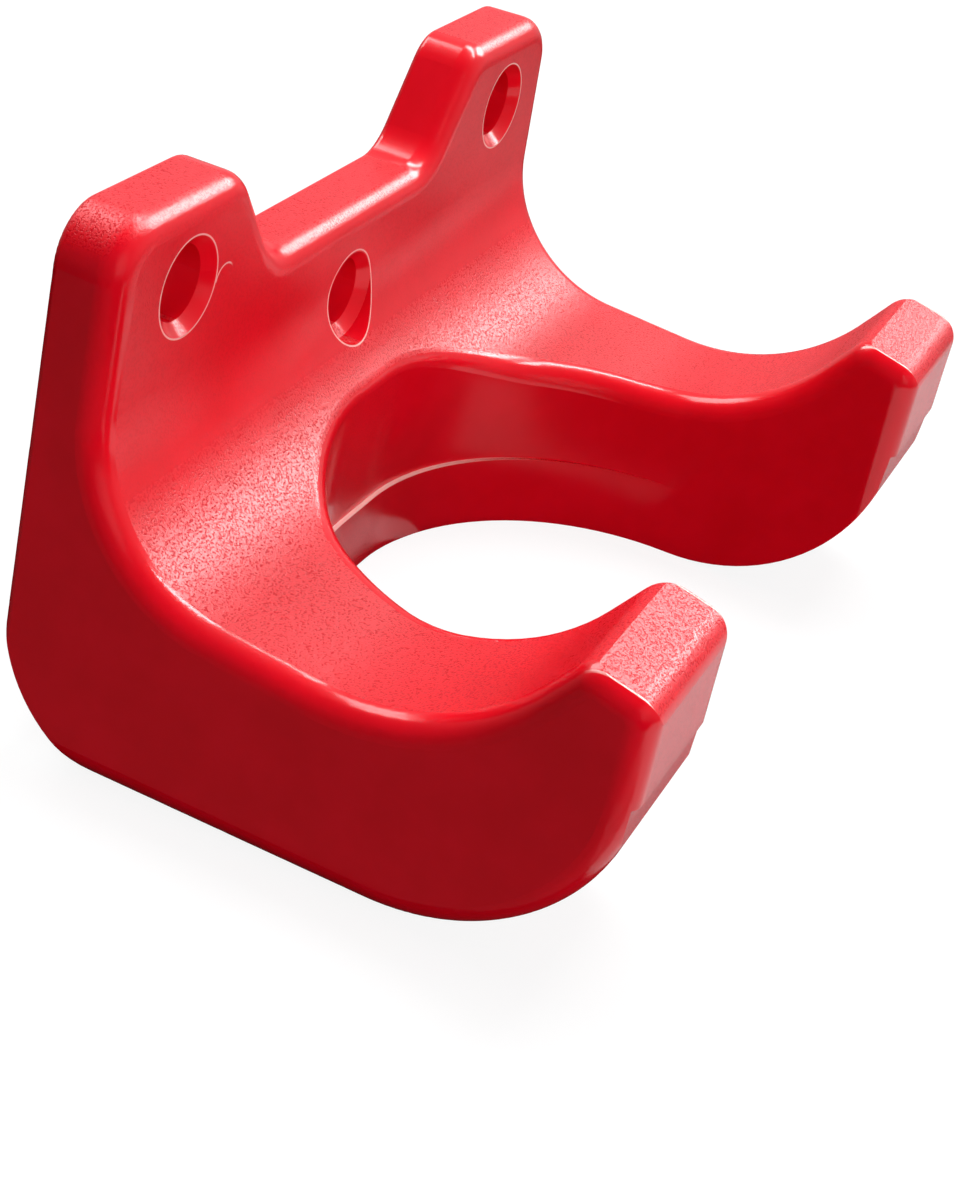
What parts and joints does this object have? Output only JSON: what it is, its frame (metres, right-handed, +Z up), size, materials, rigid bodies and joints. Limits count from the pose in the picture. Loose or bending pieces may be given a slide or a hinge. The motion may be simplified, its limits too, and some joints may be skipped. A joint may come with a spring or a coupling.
{
  "type": "tool clip",
  "caption": "Moulded wall clip: an eared plate with screw holes carries a U-shaped fork whose arms rise to blunt tips, so the neck of a hand tool can rest in its saddle.",
  "frame": {"origin": "centre of the middle screw hole, in the plane of the wall face", "axes": "+X to the right when facing the wall, +Y into the wall, +Z up"},
  "size_m": [0.081, 0.0505, 0.0429],
  "materials": {
    "clip_plastic": "satin red moulded plastic with a fine grain on the upper faces"
  },
  "bodies": {
    "root": {"clip": "clip_plastic"}
  },
  "joints": []
}
